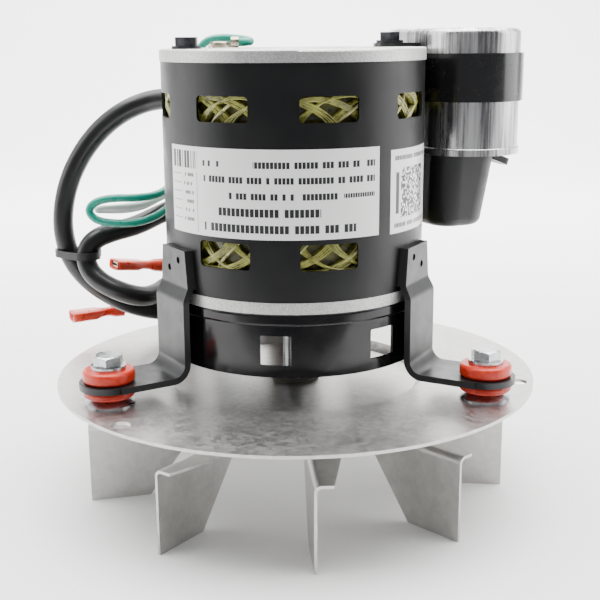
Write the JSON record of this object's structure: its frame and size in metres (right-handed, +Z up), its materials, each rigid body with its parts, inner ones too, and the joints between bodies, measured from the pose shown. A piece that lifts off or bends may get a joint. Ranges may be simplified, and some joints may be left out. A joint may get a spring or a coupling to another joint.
{
  "type": "combustion fan",
  "caption": "Furnace draught fan: capacitor-run motor on three rubber-mounted legs over a round mounting plate, with a bladed sheet-metal wheel below.",
  "frame": {"origin": "centre of the mounting plate's lower face, on the shaft axis, where the plate bolts down", "axes": "+Z up the shaft axis from the wheel to the motor, -Y to the side with the rating label"},
  "size_m": [0.1666, 0.1596, 0.153],
  "materials": {
    "galvanised_plate": "hot-dip galvanised sheet, spangled",
    "black_paint": "semi-gloss black enamel on rolled steel",
    "cast_aluminium": "die-cast, as cast with a machined rim",
    "lamination_steel": "stacked laminations",
    "enamelled_wire": "varnished magnet wire",
    "slot_paper": "polyester film",
    "protector_case": "moulded case",
    "ground_steel": "ground shafting",
    "spring_steel": "spring steel",
    "felt_seal": "pressed graphite felt",
    "zinc_steel": "bright zinc plating",
    "zinc_screw": "zinc-plated hex screw",
    "wheel_sheet": "bare aluminised steel sheet",
    "black_screw": "black oxide",
    "red_rubber": "moulded silicone rubber",
    "bolt_steel": "dark zinc-plated steel",
    "can_aluminium": "impact-extruded, brushed",
    "lid_resin": "phenolic lid",
    "tinned_brass": "tin-plated brass",
    "boot_rubber": "moulded PVC boot",
    "strap_paint": "black enamel",
    "label_film": "white polyester label",
    "bushing_nylon": "moulded nylon",
    "sleeve_pvc": "extruded PVC sleeve",
    "white_pvc": "PVC insulation",
    "red_pvc": "PVC insulation",
    "green_pvc": "PVC insulation",
    "red_terminal": "moulded vinyl insulation",
    "brass_screw": "turned brass",
    "tie_nylon": "moulded nylon",
    "leg_paint": "semi-gloss black powder coat",
    "bearing_steel": "ground bearing steel",
    "cage_steel": "pressed steel"
  },
  "bodies": {
    "housing": {"mounting_plate": "galvanised_plate", "motor_shell": "black_paint", "rear_end_shield": "cast_aluminium", "front_end_shield": "cast_aluminium", "motor_skirt": "black_paint", "stator_core": "lamination_steel", "coil_sides": "enamelled_wire", "slot_wedges": "slot_paper", "rear_winding": "enamelled_wire", "front_winding": "enamelled_wire", "thermal_protector": "protector_case", "wave_washer": "spring_steel", "shaft_seal": "felt_seal", "seal_collar": "zinc_steel", "grommets": "red_rubber", "grommet_sleeves": "zinc_steel", "cone_washers": "zinc_steel", "mounting_screws": "zinc_screw", "plate_nuts": "zinc_steel", "through_bolts": "bolt_steel", "through_bolt_nuts": "bolt_steel", "capacitor_can": "can_aluminium", "capacitor_lid": "lid_resin", "capacitor_terminals": "tinned_brass", "capacitor_boot": "boot_rubber", "capacitor_strap": "strap_paint", "rating_label": "label_film", "code_label": "label_film", "lead_bushing": "bushing_nylon", "lead_sleeve": "sleeve_pvc", "white_lead": "white_pvc", "red_lead": "red_pvc", "green_lead": "green_pvc", "ground_lead": "green_pvc", "white_lead_terminal": "red_terminal", "red_lead_terminal": "red_terminal", "green_lead_terminal": "red_terminal", "terminal_receptacles": "tinned_brass", "ground_ring": "tinned_brass", "ground_screw": "brass_screw", "cable_tie": "tie_nylon", "leg_left": "leg_paint", "leg_rear": "leg_paint", "leg_right": "leg_paint", "front_bearing_outer_ring": "bearing_steel", "rear_bearing_outer_ring": "bearing_steel"},
    "rotor": {"shaft": "ground_steel", "rotor_core": "lamination_steel", "front_end_ring": "cast_aluminium", "rear_end_ring": "cast_aluminium", "front_bearing_inner_ring": "bearing_steel", "rear_bearing_inner_ring": "bearing_steel", "impeller_wheel": "wheel_sheet", "impeller_hub": "zinc_steel", "hub_rivets": "zinc_steel", "set_screw": "black_screw"},
    "front_ball_set": {"front_bearing_balls": "bearing_steel", "front_bearing_cage": "cage_steel"},
    "rear_ball_set": {"rear_bearing_balls": "bearing_steel", "rear_bearing_cage": "cage_steel"}
  },
  "joints": [
    {"name": "shaft_spin", "type": "hinge", "parent": "housing", "child": "rotor", "pos_m": [0, 0, 0], "axis": [0, 0, 1], "continuous": true},
    {"name": "front_balls_spin", "type": "hinge", "parent": "housing", "child": "front_ball_set", "pos_m": [0, 0, 0.038], "axis": [0, 0, 1], "continuous": true},
    {"name": "rear_balls_spin", "type": "hinge", "parent": "housing", "child": "rear_ball_set", "pos_m": [0, 0, 0.0995], "axis": [0, 0, 1], "continuous": true}
  ],
  "couplings": [
    {"joint": "front_balls_spin", "follows": "shaft_spin", "ratio": 0.368},
    {"joint": "rear_balls_spin", "follows": "shaft_spin", "ratio": 0.368}
  ]
}
